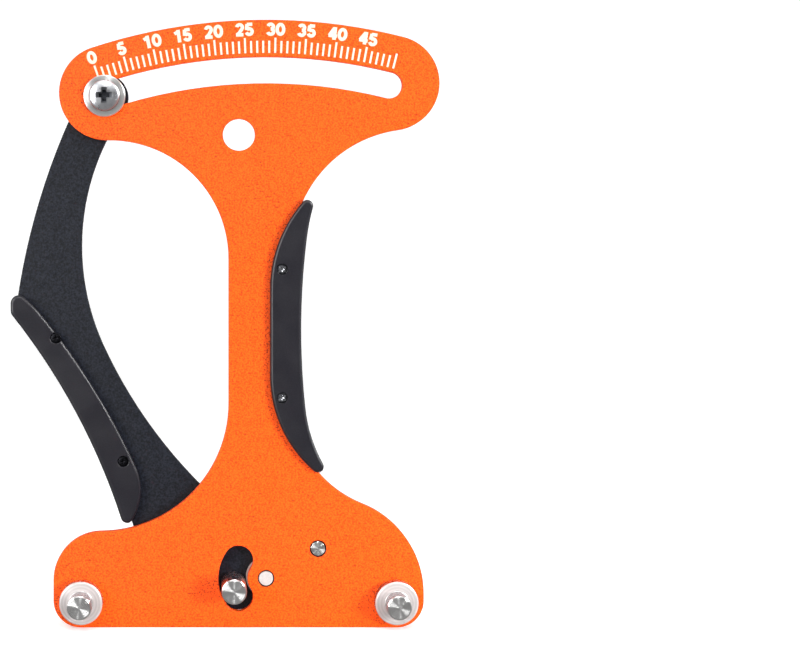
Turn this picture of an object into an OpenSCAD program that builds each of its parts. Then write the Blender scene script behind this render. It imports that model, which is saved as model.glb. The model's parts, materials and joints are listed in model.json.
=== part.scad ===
// Spoke tension meter: a sheet scale plate with three posts, and a sprung lever behind it
// whose pointer runs in an arc slot. All sizes are in millimetres. +X is right and +Z is up
// as the scale is read, and the scale faces -Y. Profiles are drawn about the lever's pivot.

/* [Scale plate] */
// Thickness of the sheet
plate_t = 3; // [2:0.5:5]
// Width of the head above the middle line of its slot
band_above = 17.8; // [14:0.2:24]
// Width of the head's two ends below the middle line of its slot
band_below = 15.8; // [12:0.2:18]
// Angle of the head's left end, inwards from the slot's left end
head_left_in = 0.3; // [-1:0.1:1]
// Angle of the head's right end, outwards from the slot's right end
head_right_out = 0.3; // [-1:0.1:1]
// Radius of the left neck, under the head
neck_left_r = 42.3; // [36:0.1:46]
// Radius of the right neck, under the head
neck_right_r = 44; // [38:0.5:48]
// Left edge of the waist, from the pivot
waist_left = 13.3; // [11:0.1:16]
// Right edge of the waist, from the pivot
waist_right = 9.2; // [8:0.1:12]
// Radius between waist and foot on the left
hip_left_r = 45.5; // [38:0.5:50]
// Radius between waist and foot on the right
hip_right_r = 40; // [34:0.5:46]
// Radius of the foot's shoulder on the right
shoulder_r = 34; // [28:0.5:38]
// Height of that shoulder's centre over the pivot
shoulder_rise = -5.3; // [-7:0.1:-3]
// Height of the foot's left shoulder over the pivot
foot_rise = 16.6; // [15:0.1:19]
// Radius of the foot's left shoulder
foot_shoulder_r = 17; // [12:0.5:20]
// Depth of the foot's lower edge under the pivot
foot_drop = 17.4; // [16:0.1:24]
// Radius of the foot's two lower corners
foot_corner_r = 9.5; // [6:0.5:10]
// Sheet beyond each outer post's axis
foot_margin = 10; // [9:0.5:14]
// Diameter of the hanging hole
hang_d = 11.4; // [6:0.2:14]
// Distance of the hanging hole below the middle line of the slot
hang_below = 23; // [19:0.2:32]
// Distance of the hanging hole left of the pivot
hang_offset = 9.6; // [0:0.2:14]

/* [Arc slot and pointer] */
// Radius of the slot's middle line, about the pivot
slot_r = 180.5; // [176:0.5:183]
// Width of the slot
slot_w = 9.5; // [9:0.5:12]
// Angle of the pointer at zero, left of the vertical
zero_deg = 18.5; // [16:0.5:20]
// Angle of the pointer at full scale, right of the vertical
full_deg = 14; // [12:0.5:14.5]
// Play of the pointer bush in the slot
slot_play = 0.5; // [0.3:0.1:0.8]
// Flange diameter of the pointer bush
bush_flange_d = 14.8; // [14:0.2:17]
// Flange thickness of the pointer bush
bush_flange_t = 1.3; // [1:0.1:2]
// Gap between that flange and the plate
glide_gap = 0.3; // [0.2:0.05:0.5]
// Thread diameter of the pointer screw
pointer_thread_d = 5; // [4:0.5:6]
// Head diameter of the pointer screw
pointer_head_d = 11; // [9:0.5:13]
// Head height of the pointer screw
pointer_head_h = 3.2; // [2.4:0.1:4]
// Width of the pointer nut across its flats
pointer_nut_af = 8; // [7.5:0.5:10]
// Height of the pointer nut
pointer_nut_h = 4; // [3:0.5:5]

/* [Posts] */
// Distance of the left post from the pivot
post_left = 65.4; // [58:0.2:70]
// Distance of the right post from the pivot
post_right = 46; // [43:0.2:50]
// Depth of both outer posts under the pivot
post_drop = 8; // [7:0.1:9]
// Flange diameter of an outer post
post_flange_d = 15.3; // [13:0.1:17]
// Flange thickness of an outer post
post_flange_t = 4.5; // [3:0.5:6]
// Stem diameter of an outer post
post_stem_d = 8.5; // [7:0.1:10]
// Reach of all three posts in front of the plate
post_reach = 12; // [10:0.5:16]
// Chamfer at the front of each post
post_chamfer = 0.5; // [0.2:0.1:1]
// Thread diameter of an outer post's screw
post_screw_d = 5; // [4:0.5:5]
// Head diameter of an outer post's screw
post_head_d = 9; // [8:0.5:11]
// Head height of an outer post's screw
post_head_h = 2.8; // [2:0.1:4]
// Diameter of the middle post
mid_post_d = 8.8; // [7:0.1:9]
// Distance of the middle post from the pivot
mid_post_arm = 11.7; // [11.4:0.1:13]
// Depth of the middle post at rest, in degrees under the horizontal
mid_post_deg = 12; // [8:1:16]
// Thread diameter of the middle post's countersunk screw
mid_screw_d = 4; // [3:0.5:4]
// Clearance of the middle post in its window
window_play = 0.8; // [0.5:0.1:1.2]
// Spare angle of the window past the middle post's upper place
window_spare_up = 13; // [4:1:18]
// Spare angle of the window past the middle post's lower place
window_spare_down = 21; // [6:1:26]

/* [Lever] */
// Thickness of the lever
lever_t = 3; // [2:0.5:5]
// Gap between plate and lever
lever_gap = 1; // [0.6:0.1:2]
// Radius of the lever's end round the pointer
lever_end_r = 8.2; // [7:0.1:9]
// Radius of the lever's outer edge above the grip
outer_r = 245; // [240:1:252]
// Direction of that edge's centre from the pointer
outer_dir = -27; // [-27.4:0.1:-26.6]
// Radius of the inner edge, upper stretch
inner_r = 85; // [80:1:90]
// Direction of that stretch's centre from the pointer
inner_dir = -34.8; // [-36:0.1:-33.6]
// Direction in which the inner edge passes to its flatter stretch
bend_dir = 24.6; // [22:0.2:28]
// Radius of the lever's hub round the pivot
hub_r = 11; // [9:0.5:13]
// Radius of the lever round the middle post
mid_lobe_r = 9.5; // [8.5:0.5:12]
// Radius of the lever's heel, under the grip
heel_r = 6; // [4:0.5:9]
// Height of the heel over the pivot
heel_rise = 11; // [9:0.5:13]

/* [Grips] */
// Thickness of a grip half over the sheet
grip_t = 3; // [2:0.5:5]
// Wall of a grip outside the edge of the sheet
grip_wall = 3.2; // [2:0.2:5]
// Radius of a grip's rounded edge
grip_edge_r = 1.2; // [0.6:0.1:1.5]
// Clearance of the sheet in a grip's pocket
pocket_play = 0.15; // [0.1:0.05:0.3]
// Radius of the hollow for the fingers on the lever grip
hollow_r = 231.4; // [225:0.5:238]
// Radius of the lever grip's inner edge
lever_grip_r = 244.2; // [238:0.5:250]
// Radius of the lever grip's knee
knee_r = 20; // [16:0.5:26]
// Height of the knee's centre over the pivot
knee_rise = 31; // [28:0.5:34]
// Radius of the lever grip's brow, beside the upper tip
brow_r = 40; // [32:1:50]
// Radius of the two corners of the lever grip's upper tip
upper_tip_r = 2.8; // [2:0.1:3]
// Length of the flat between those corners
upper_tip_flat = 2.7; // [0.5:0.1:4]
// Radius of the lever grip's lower tip
lower_tip_r = 2.2; // [2:0.1:3]
// Distance of the lever grip's screws from the hollow
lever_screw_inset = 7.8; // [6:0.1:8.4]
// Reach of the plate grip over the plate, from the waist's edge
grip_cover = 7.8; // [6:0.1:9]
// Radius of the plate grip's outer edge, middle stretch
palm_r = 260; // [200:10:320]
// Radius of the plate grip's outer edge, upper stretch
palm_upper_r = 81; // [76:0.5:86]
// Radius of the plate grip's outer edge, lower stretch
palm_lower_r = 52.5; // [48:0.5:57]
// Radius of the plate grip's inner edge, upper stretch
crescent_upper_r = 47; // [45:0.5:50]
// Radius of the plate grip's inner edge, lower stretch
crescent_lower_r = 44.3; // [42:0.1:47]
// Radius of the plate grip's two tips
plate_tip_r = 2.1; // [1.6:0.1:2.6]
// Distance of the plate grip's screws from the waist's edge
plate_screw_inset = 3.6; // [3:0.1:4.4]
// Thread diameter of a grip screw
grip_screw_d = 2.4; // [2:0.1:3]
// Head diameter of a grip screw
grip_head_d = 3.5; // [3.2:0.1:5]
// Head height of a grip screw
grip_head_h = 1.2; // [1:0.1:1.6]

/* [Pivot] */
// Diameter of the pin's end in the plate
spigot_d = 5; // [4:0.2:6]
// Diameter of the pin's journal
journal_d = 7; // [6.4:0.2:8]
// Running clearance of the lever's bushing on the journal
running_play = 0.04; // [0.02:0.01:0.08]
// Outer diameter of the bushing
bushing_d = 11; // [10:0.2:14]
// Flange diameter of the bushing
bushing_flange_d = 14.4; // [13:0.2:16]
// Flange thickness of the bushing
bushing_flange_t = 0.8; // [0.6:0.1:1.5]
// Outer diameter of the retaining washer
washer_d = 18; // [14:0.5:20]
// Thickness of the retaining washer
washer_t = 1; // [0.6:0.1:2]
// Outer diameter of the retaining ring
ring_d = 11.5; // [10:0.5:14]
// Thickness of the retaining ring
ring_t = 0.8; // [0.6:0.1:1.2]
// Depth of the ring's groove in the pin
groove_depth = 0.8; // [0.4:0.1:1]
// Clearance of fixed pieces in their holes
seat_play = 0.02; // [0.01:0.01:0.05]

/* [Spring] */
// Diameter of the wire
wire_d = 2.2; // [1.8:0.1:2.6]
// Mean diameter of the coil
coil_d = 16; // [15.6:0.2:18]
// Full turns between the two legs, less the angle that they share
coil_turns = 4; // [3:1:6]
// Gap between one turn and the next
coil_gap = 0.6; // [0.45:0.05:1]
// Gap between the coil and the pieces before and behind it
coil_play = 0.3; // [0.2:0.1:0.6]
// Length of each leg past the stud that it pushes on
leg_spare = 4; // [3:0.5:6]
// Distance of the spring post from the pivot
spring_post_arm = 21.3; // [20:0.1:24]
// Direction of the spring post from the pivot
spring_post_deg = 29.8; // [24:0.2:34]
// Diameter of the spring post
spring_post_d = 5; // [4:0.2:6]
// Diameter of the spring post's head
spring_head_d = 7.6; // [7:0.2:9]
// Distance of the lever's spring pin from the pivot
spring_pin_arm = 21.2; // [20:0.1:24]
// Direction of the lever's spring pin from the pivot
spring_pin_deg = 152.5; // [146:0.5:158]
// Diameter of the lever's spring pin
spring_pin_d = 4; // [3:0.2:5]

/* [Hidden] */

$fn = 96;
// Overrun of every cut past the face that it leaves
cut = 0.5;
// Largest distance between a drawn arc and its chords
arc_tol = 0.02;

// Layers, counted back from the plate's front face
lever_front = plate_t + lever_gap;
lever_back = lever_front + lever_t;

// Places in the plane of the sheets, as [right, up] from the pivot
pivot = [0, 0];
pointer = slot_r * unit(90 + zero_deg);
// The head's ends are round, from the top edge to the edge below the slot
top_r = slot_r + band_above;
head_r = (band_above + band_below) / 2;
head_left_at = (top_r - head_r) * unit(90 + zero_deg - head_left_in);
head_right_at = (top_r - head_r) * unit(90 - full_deg - head_right_out);
left_post_at = [-post_left, -post_drop];
right_post_at = [post_right, -post_drop];
mid_post_at = mid_post_arm * unit(180 + mid_post_deg);
hang_at = [-hang_offset, slot_r - hang_below];
spring_post_at = spring_post_arm * unit(spring_post_deg);
spring_pin_at = spring_pin_arm * unit(spring_pin_deg);
travel_deg = zero_deg + full_deg;

// Centre of the hollow for the fingers, and the lever grip's other chosen centres
hollow_at = [-271.6, -50.6];
lever_grip_at = [-268.6, -61.7];
upper_tip_x = -88.1;
lever_screw_degs = [34.6, 22.6];
// Height of the middle of the plate grip's outer edge, and the angles at which it bends more
palm_rise = 88.4;
palm_upper_deg = 7.1;
palm_lower_deg = 6.1;
// Heights at which the plate grip's inner edge passes from one arc to the next
crescent_upper_rise = 102.7;
crescent_lower_rise = 72;
plate_screw_rises = [109.7, 64.3];

// The frame: the middle of the box in X and Y, and the foot's lower edge in Z
left_reach = upper_tip_r - upper_tip_x;
right_reach = head_right_at.x + head_r;
pivot_x = (left_reach - right_reach) / 2;
pivot_z = foot_drop;

// ---- Plane geometry -------------------------------------------------------------------

function unit(a) = [cos(a), sin(a)];

function clamp(v) = max(-1, min(1, v));

// The point at distance ra from a and rb from b, on the left of the line from a to b
function meet(a, ra, b, rb) =
    let (d = norm(b - a),
         bearing = atan2((b - a).y, (b - a).x),
         opening = acos(clamp((ra * ra + d * d - rb * rb) / (2 * ra * d))))
    a + ra * unit(bearing + opening);

// An outline is a belt round circles, each [centre, radius], taken anticlockwise.
// A negative radius is a hollow: there the belt runs round the other side.
function belt_dir(a, b) =
    let (d = b[0] - a[0]) atan2(d.y, d.x) - acos(clamp((a[1] - b[1]) / norm(d)));

// Length of the straight between two circles of the belt
function straight(a, b) = sqrt(max(0, pow(norm(b[0] - a[0]), 2) - pow(a[1] - b[1], 2)));

function sweep(from, to, turning) =
    let (angle = (((to - from) * turning) % 360 + 360) % 360)
    (angle > 359 ? 0 : angle) * turning;

function arc_step(r) = min(15, 2 * acos(1 - arc_tol / max(r, 1)));

// Points of the belt, moved inwards by inset; their number doesn't depend on inset
function belt(circles, inset = 0) =
    let (n = len(circles))
    [for (i = [0:n - 1])
        let (before = circles[(i + n - 1) % n],
             here = circles[i],
             after = circles[(i + 1) % n],
             start = belt_dir(before, here),
             turn = sweep(start, belt_dir(here, after), sign(here[1])),
             steps = max(1, ceil(abs(turn) / arc_step(abs(here[1])))),
             last = straight(here, after) < 0.05 ? steps - 1 : steps)
        for (k = [0:last]) here[0] + (here[1] - inset) * unit(start + turn * k / steps)];

// ---- Outlines -------------------------------------------------------------------------

// Centre of a hollow of radius r whose nearer side is at x, tangent to a circle below or above
function neck_at(x, circle, r, up) =
    let (reach = circle[1] + r, dx = x - circle[0].x)
    [x, circle[0].y + up * sqrt(max(0, reach * reach - dx * dx))];

foot_left = post_left + foot_margin;
foot_right = post_right + foot_margin;
shoulder = [[foot_right - shoulder_r, shoulder_rise], shoulder_r];
plate_circles = [
    [[foot_right - foot_corner_r, foot_corner_r - foot_drop], foot_corner_r],
    shoulder,
    [neck_at(waist_right + hip_right_r, shoulder, hip_right_r, 1), -hip_right_r],
    [neck_at(waist_right + neck_right_r, [head_right_at, head_r], neck_right_r, -1), -neck_right_r],
    [head_right_at, head_r],
    [pivot, top_r],
    [head_left_at, head_r],
    [neck_at(-waist_left - neck_left_r, [head_left_at, head_r], neck_left_r, -1), -neck_left_r],
    [[-waist_left - hip_left_r, foot_rise + hip_left_r], -hip_left_r],
    [[foot_shoulder_r - foot_left, foot_rise - foot_shoulder_r], foot_shoulder_r],
    [[foot_corner_r - foot_left, foot_corner_r - foot_drop], foot_corner_r]];

// The lever: its hidden edge under the grip runs one wall inside the hollow for the fingers
lever_hollow_r = hollow_r + grip_wall;
outer_at = pointer + (outer_r - lever_end_r) * unit(outer_dir);
inner_at = pointer + (inner_r + lever_end_r) * unit(inner_dir);
bend_at = inner_at - inner_r * unit(bend_dir);
// Radius at which the flatter stretch ends tangent to the hub
flat_r = (bend_at * bend_at - hub_r * hub_r) / (2 * (hub_r - bend_at * unit(bend_dir)));
corner_r = 3;
corner_at = meet(hollow_at, lever_hollow_r + corner_r, outer_at, outer_r - corner_r);
heel_dir = asin((heel_rise - hollow_at.y) / (lever_hollow_r + heel_r));
lever_circles = [
    [pointer, lever_end_r],
    [outer_at, outer_r],
    [corner_at, corner_r],
    [hollow_at, -lever_hollow_r],
    [hollow_at + (lever_hollow_r + heel_r) * unit(heel_dir), heel_r],
    [mid_post_at, mid_lobe_r],
    [pivot, hub_r],
    [bend_at + flat_r * unit(bend_dir), -flat_r],
    [inner_at, -inner_r]];

knee_dir = asin((knee_rise - lever_grip_at.y) / (lever_grip_r - knee_r));
knee_at = lever_grip_at + (lever_grip_r - knee_r) * unit(knee_dir);
lower_tip_at = meet(knee_at, knee_r - lower_tip_r, hollow_at, hollow_r + lower_tip_r);
// The tip's lower corner runs into the hollow
upper_tip_low = [upper_tip_x, hollow_at.y
    + sqrt(pow(hollow_r + upper_tip_r, 2) - pow(upper_tip_x - hollow_at.x, 2))];
upper_tip_at = upper_tip_low + [0, upper_tip_flat];
lever_grip_circles = [
    [upper_tip_at, upper_tip_r],
    [upper_tip_low, upper_tip_r],
    [hollow_at, -hollow_r],
    [lower_tip_at, lower_tip_r],
    [knee_at, knee_r],
    [lever_grip_at, lever_grip_r],
    [meet(upper_tip_at, brow_r - upper_tip_r, lever_grip_at, lever_grip_r - brow_r), brow_r]];

palm_x = waist_right + grip_wall;
crescent_x = waist_right - grip_cover;
palm_at = [palm_x + palm_r, palm_rise];
palm_upper_at = palm_at + (palm_r - palm_upper_r) * unit(180 - palm_upper_deg);
palm_lower_at = palm_at + (palm_r - palm_lower_r) * unit(180 + palm_lower_deg);
crescent_upper_at = [crescent_x + crescent_upper_r, crescent_upper_rise];
crescent_lower_at = [crescent_x + crescent_lower_r, crescent_lower_rise];
plate_grip_circles = [
    [palm_lower_at, -palm_lower_r],
    [palm_at, -palm_r],
    [palm_upper_at, -palm_upper_r],
    [meet(crescent_upper_at, crescent_upper_r - plate_tip_r,
          palm_upper_at, palm_upper_r + plate_tip_r), plate_tip_r],
    [crescent_upper_at, crescent_upper_r],
    [crescent_lower_at, crescent_lower_r],
    [meet(palm_lower_at, palm_lower_r + plate_tip_r,
          crescent_lower_at, crescent_lower_r - plate_tip_r), plate_tip_r]];

plate_screws_at = [for (z = plate_screw_rises) [waist_right - plate_screw_inset, z]];
lever_screws_at = [for (a = lever_screw_degs) hollow_at + (hollow_r + lever_screw_inset) * unit(a)];

// ---- The stack behind the lever -------------------------------------------------------

journal_r = journal_d / 2;
wire_r = wire_d / 2;
coil_r = coil_d / 2;
pitch = wire_d + coil_gap;
// Running gap of the lever between the faces that hold it
end_play = 0.1;
sleeve_front = lever_back + bushing_flange_t + end_play;
// The thrust washer lies inside the window's inner edge, clear of the middle post
washer_margin = 0.1;
thrust_r = mid_post_arm - mid_post_d / 2 - window_play - washer_margin;
// Clearance between a leg and the stud that it pushes on
leg_play = 0.1;
front_touch = spring_pin_deg + acos((coil_r + wire_r + spring_pin_d / 2 + leg_play) / spring_pin_arm);
back_touch = spring_post_deg - acos((coil_r + wire_r + spring_post_d / 2 + leg_play) / spring_post_arm);
coil_sweep = 360 * coil_turns + back_touch - front_touch;
front_leg_y = lever_back + bushing_flange_t + coil_play + wire_r;
back_leg_y = front_leg_y + pitch * coil_sweep / 360;
coil_back = back_leg_y + wire_r + coil_play;
ring_front = coil_back + washer_t;
ring_back = ring_front + ring_t;
pin_back = ring_back + 1.2;
groove_r = journal_r - groove_depth;

frame_y = (post_reach - pin_back) / 2;

// ---- Building blocks ------------------------------------------------------------------

// A profile from one depth to another
module sheet(front, back) {
    translate([pivot_x, frame_y + back, pivot_z])
        rotate([90, 0, 0])
            linear_extrude(back - front) children();
}

// A solid of revolution about an axis along Y; its profile is a list of [radius, depth]
module turned(at, profile) {
    translate([pivot_x + at.x, frame_y, pivot_z + at.y])
        rotate([-90, 0, 0])
            rotate_extrude() polygon(profile);
}

// A round hole from one depth to another
module bore(at, r, front, back) {
    translate([pivot_x + at.x, frame_y + back, pivot_z + at.y])
        rotate([90, 0, 0])
            cylinder(r = r, h = back - front);
}

// A washer or sleeve
module tube(at, outer, inner, front, back) {
    turned(at, [[inner, front], [outer, front], [outer, back], [inner, back]]);
}

// A slot that follows an arc about the pivot, with round ends, through a sheet
module arc_slot(r, w, from, to, front, back) {
    translate([pivot_x, frame_y + back, pivot_z])
        rotate([90, 0, 0])
            rotate([0, 0, from])
                rotate_extrude(angle = to - from)
                    translate([r - w / 2, 0]) square([w, back - front]);
    bore(r * unit(from), w / 2, front, back);
    bore(r * unit(to), w / 2, front, back);
}

// A cross recess for a driver, cut into a face at depth front
module cross_recess(at, span, front) {
    blade = span * 0.26;
    intersection() {
        turned(at, [[0, front - cut], [span / 2 + cut, front - cut], [span / 2, front],
                    [span * 0.3, front + span * 0.32], [0, front + span * 0.42]]);
        translate([pivot_x + at.x, frame_y + front, pivot_z + at.y])
            for (a = [0, 90])
                rotate([0, a, 0])
                    cube([2 * span, span * 1.2, blade], center = true);
    }
}

// Profile of a pan head with a rounded rim, top first
function pan_head(r, top, seat) =
    let (h = seat - top, edge = min(0.45 * h, 0.5 * r))
    concat([[0, top]],
           [for (a = [60:15:90]) [r - edge + edge * sin(a), top + edge - edge * cos(a)]],
           [[r, seat]]);

// Triangles over an outline, zipped downwards from its highest point between its two sides;
// the outline has to fall steadily on both sides
function zip(p, i, j) =
    let (n = len(p), a = (i + 1) % n, b = (j + n - 1) % n)
    a == j ? []
        : p[a].y >= p[b].y ? concat([[i, a, j]], zip(p, a, j))
        : concat([[i, b, j]], zip(p, i, b));

function cap(p) =
    let (n = len(p),
         heights = [for (q = p) q.y],
         top = search(max(heights), heights)[0],
         i = (top + 1) % n,
         j = (top + n - 1) % n)
    concat([[top, i, j]], zip(p, i, j));

// A moulded half with a rounded edge: a loft of its outline from the face to the split
module moulded_half(circles, face, split) {
    away = sign(split - face);
    rise = [for (a = [0:22.5:90]) [grip_edge_r * (1 - sin(a)), grip_edge_r * (1 - cos(a))]];
    loops = concat([for (s = rise) [belt(circles, s[0]), face + away * s[1]]],
                   [[belt(circles), split]]);
    n = len(loops[0][0]);
    back = (len(loops) - 1) * n;
    points = [for (l = loops) for (p = l[0]) [p.x, l[1], p.y]];
    rim = [for (l = [0:len(loops) - 2]) for (i = [0:n - 1])
        let (a = l * n + i, b = l * n + (i + 1) % n)
        for (f = [[a, b, b + n], [a, b + n, a + n]]) f];
    face_cap = [for (f = cap(loops[0][0])) [f[2], f[1], f[0]]];
    split_cap = [for (f = cap(belt(circles))) [back + f[0], back + f[1], back + f[2]]];
    faces = [for (f = concat(rim, face_cap, split_cap)) away < 0 ? [f[2], f[1], f[0]] : f];
    translate([pivot_x, frame_y, pivot_z]) polyhedron(points, faces, convexity = 6);
}

// ---- Scale plate and what is fixed to it ----------------------------------------------

module scale_plate() {
    color([0.95, 0.40, 0.12]) difference() {
        sheet(0, plate_t) polygon(belt(plate_circles));
        arc_slot(slot_r, slot_w, 90 - full_deg, 90 + zero_deg, -cut, plate_t + cut);
        arc_slot(mid_post_arm, mid_post_d + 2 * window_play,
                 180 + mid_post_deg - travel_deg - window_spare_up,
                 180 + mid_post_deg + window_spare_down, -cut, plate_t + cut);
        bore(hang_at, hang_d / 2, -cut, plate_t + cut);
        for (p = [left_post_at, right_post_at])
            bore(p, post_screw_d / 2 + 0.1, -cut, plate_t + cut);
        for (p = [[pivot, spigot_d], [spring_post_at, spring_post_d]]) {
            bore(p[0], p[1] / 2 + seat_play, -cut, plate_t + cut);
            turned(p[0], [[0, -cut], [p[1] / 2 + 0.35 + cut, -cut], [p[1] / 2, 0.35], [0, 0.35]]);
        }
        for (p = plate_screws_at)
            bore(p, grip_screw_d / 2 + 0.2, -cut, plate_t + cut);
    }
}

module outer_post(at) {
    stem = post_stem_d / 2;
    flange = post_flange_d / 2;
    hole = post_screw_d / 2 + seat_play;
    floor_y = 3 - post_reach;
    color([0.80, 0.81, 0.83])
        turned(at, [[0, -post_reach], [stem - post_chamfer, -post_reach],
                    [stem, post_chamfer - post_reach], [stem, -post_flange_t],
                    [flange - post_chamfer, -post_flange_t], [flange, post_chamfer - post_flange_t],
                    [flange, 0], [hole, 0], [hole, floor_y], [0, floor_y - hole / 2]]);
}

module left_post() { outer_post(left_post_at); }

module right_post() { outer_post(right_post_at); }

module outer_post_screw(at) {
    head = post_head_d / 2;
    r = post_screw_d / 2;
    tip = 4 - post_reach;
    top = plate_t + post_head_h;
    // The head's profile, turned to face backwards
    dome = [for (p = pan_head(head, 0, post_head_h)) [p.x, top - p.y]];
    color([0.70, 0.71, 0.73]) difference() {
        turned(at, concat([[0, tip], [r - 0.5, tip], [r, tip + 0.5], [r, plate_t]],
                          [for (i = [len(dome) - 1:-1:0]) dome[i]]));
        translate([pivot_x + at.x, frame_y + top, pivot_z + at.y])
            rotate([90, 0, 0])
                cylinder(d = post_screw_d * 0.7, h = post_head_h * 0.6, $fn = 6);
    }
}

module left_post_screw() { outer_post_screw(left_post_at); }

module right_post_screw() { outer_post_screw(right_post_at); }

module pivot_pin() {
    spigot = spigot_d / 2;
    color([0.86, 0.86, 0.84])
        turned(pivot, [[0, 0], [spigot, 0], [spigot, plate_t], [journal_r, plate_t],
                       [journal_r, ring_front], [groove_r, ring_front], [groove_r, ring_back],
                       [journal_r, ring_back], [journal_r, pin_back - 0.5],
                       [journal_r - 0.5, pin_back], [0, pin_back]]);
}

module thrust_washer() {
    color([0.85, 0.78, 0.55])
        tube(pivot, thrust_r, journal_r + seat_play, plate_t, lever_front - end_play);
}

module spring_sleeve() {
    color([0.90, 0.90, 0.88])
        tube(pivot, coil_r - wire_r - coil_play, journal_r + seat_play, sleeve_front, coil_back);
}

module retaining_washer() {
    color([0.75, 0.76, 0.78])
        tube(pivot, washer_d / 2, journal_r + seat_play, coil_back, ring_front);
}

// A snap ring, open at one side so that it can be pushed into its groove
module retaining_ring() {
    mouth = 2 * groove_r * 0.8;
    color([0.45, 0.46, 0.48]) difference() {
        tube(pivot, ring_d / 2, groove_r + seat_play, ring_front, ring_back);
        translate([pivot_x - mouth / 2, frame_y + ring_front - cut, pivot_z])
            cube([mouth, ring_t + 2 * cut, ring_d]);
    }
}

module spring_post() {
    r = spring_post_d / 2;
    head = spring_head_d / 2;
    head_front = back_leg_y + wire_r + coil_play;
    color([0.80, 0.81, 0.83])
        turned(spring_post_at, [[0, 0], [r, 0], [r, plate_t], [head, plate_t],
                                [head, lever_front], [r, lever_front], [r, head_front],
                                [head, head_front], [head, head_front + 1.2],
                                [head - 0.5, head_front + 1.7], [0, head_front + 1.7]]);
}

// ---- Grips ----------------------------------------------------------------------------

// The two halves of a grip meet in the middle of the sheet that they clasp
module grip_half(circles, pocket, screws, sheet_front, sheet_t, face, split) {
    difference() {
        moulded_half(circles, face, split);
        sheet(sheet_front, sheet_front + sheet_t) polygon(belt(pocket, -pocket_play));
        for (p = screws)
            grip_screw_hole(p, sheet_front, sheet_t);
    }
}

// A clear hole in front of the sheet and a blind one behind it
module grip_screw_hole(at, sheet_front, sheet_t) {
    face = sheet_front - grip_t;
    tip = sheet_front + sheet_t + grip_t * 0.75;
    head = grip_head_d / 2 + 0.2;
    r = grip_screw_d / 2 + seat_play;
    turned(at, [[0, face - cut], [head, face - cut], [head, face + grip_head_h + 0.2],
                [r, face + grip_head_h + 0.2], [r, tip], [0, tip]]);
}

module grip_screw(at, sheet_front, sheet_t) {
    seat = sheet_front - grip_t + grip_head_h + 0.2;
    tip = sheet_front + sheet_t + grip_t * 0.7;
    r = grip_screw_d / 2;
    head = grip_head_d / 2;
    difference() {
        turned(at, concat(pan_head(head, seat - grip_head_h, seat),
                          [[r, seat], [r, tip - 0.4], [r - 0.4, tip], [0, tip]]));
        cross_recess(at, head * 1.1, seat - grip_head_h);
    }
}

module plate_grip_front() {
    color([0.20, 0.19, 0.21])
        grip_half(plate_grip_circles, plate_circles, plate_screws_at,
                  0, plate_t, -grip_t, plate_t / 2);
}

module plate_grip_back() {
    color([0.20, 0.19, 0.21])
        grip_half(plate_grip_circles, plate_circles, plate_screws_at,
                  0, plate_t, plate_t + grip_t, plate_t / 2);
}

module plate_grip_screws() {
    color([0.60, 0.61, 0.63])
        for (p = plate_screws_at) grip_screw(p, 0, plate_t);
}

module lever_grip_front() {
    color([0.20, 0.19, 0.21])
        grip_half(lever_grip_circles, lever_circles, lever_screws_at,
                  lever_front, lever_t, lever_front - grip_t, lever_front + lever_t / 2);
}

module lever_grip_back() {
    color([0.20, 0.19, 0.21])
        grip_half(lever_grip_circles, lever_circles, lever_screws_at,
                  lever_front, lever_t, lever_back + grip_t, lever_front + lever_t / 2);
}

module lever_grip_screws() {
    color([0.10, 0.10, 0.11])
        for (p = lever_screws_at) grip_screw(p, lever_front, lever_t);
}

// ---- Lever and what moves with it -----------------------------------------------------

mid_head_r = mid_screw_d;
mid_head_h = min(mid_screw_d / 2, lever_t - 0.6);

module lever_arm() {
    color([0.16, 0.17, 0.20]) difference() {
        sheet(lever_front, lever_back) polygon(belt(lever_circles));
        bore(pivot, bushing_d / 2 + seat_play, lever_front - cut, lever_back + cut);
        bore(pointer, pointer_thread_d / 2 + 0.05, lever_front - cut, lever_back + cut);
        bore(spring_pin_at, spring_pin_d / 2 + seat_play, lever_front - cut, lever_back + cut);
        for (p = lever_screws_at)
            bore(p, grip_screw_d / 2 + 0.2, lever_front - cut, lever_back + cut);
        turned(mid_post_at, [[0, lever_front - cut], [mid_screw_d / 2 + 0.1, lever_front - cut],
                             [mid_screw_d / 2 + 0.1, lever_back - mid_head_h],
                             [mid_head_r + 0.1, lever_back], [mid_head_r + 0.1, lever_back + cut],
                             [0, lever_back + cut]]);
    }
}

module pivot_bushing() {
    inner = journal_r + running_play;
    color([0.80, 0.60, 0.32])
        turned(pivot, [[inner, lever_front], [bushing_d / 2, lever_front],
                       [bushing_d / 2, lever_back], [bushing_flange_d / 2, lever_back],
                       [bushing_flange_d / 2, lever_back + bushing_flange_t],
                       [inner, lever_back + bushing_flange_t]]);
}

module middle_post() {
    r = mid_post_d / 2;
    hole = mid_screw_d / 2 + seat_play;
    floor_y = 7 - post_reach;
    color([0.80, 0.81, 0.83])
        turned(mid_post_at, [[0, -post_reach], [r - post_chamfer, -post_reach],
                             [r, post_chamfer - post_reach], [r, lever_front],
                             [hole, lever_front], [hole, floor_y], [0, floor_y - hole / 2]]);
}

module middle_post_screw() {
    r = mid_screw_d / 2;
    tip = 8 - post_reach;
    color([0.70, 0.71, 0.73]) difference() {
        turned(mid_post_at, [[0, tip], [r - 0.4, tip], [r, tip + 0.4],
                             [r, lever_back - mid_head_h], [mid_head_r, lever_back],
                             [0, lever_back]]);
        translate([pivot_x + mid_post_at.x, frame_y + lever_back, pivot_z + mid_post_at.y])
            rotate([90, 0, 0])
                cylinder(d = mid_screw_d * 0.7, h = mid_head_h * 0.7, $fn = 6);
    }
}

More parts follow.
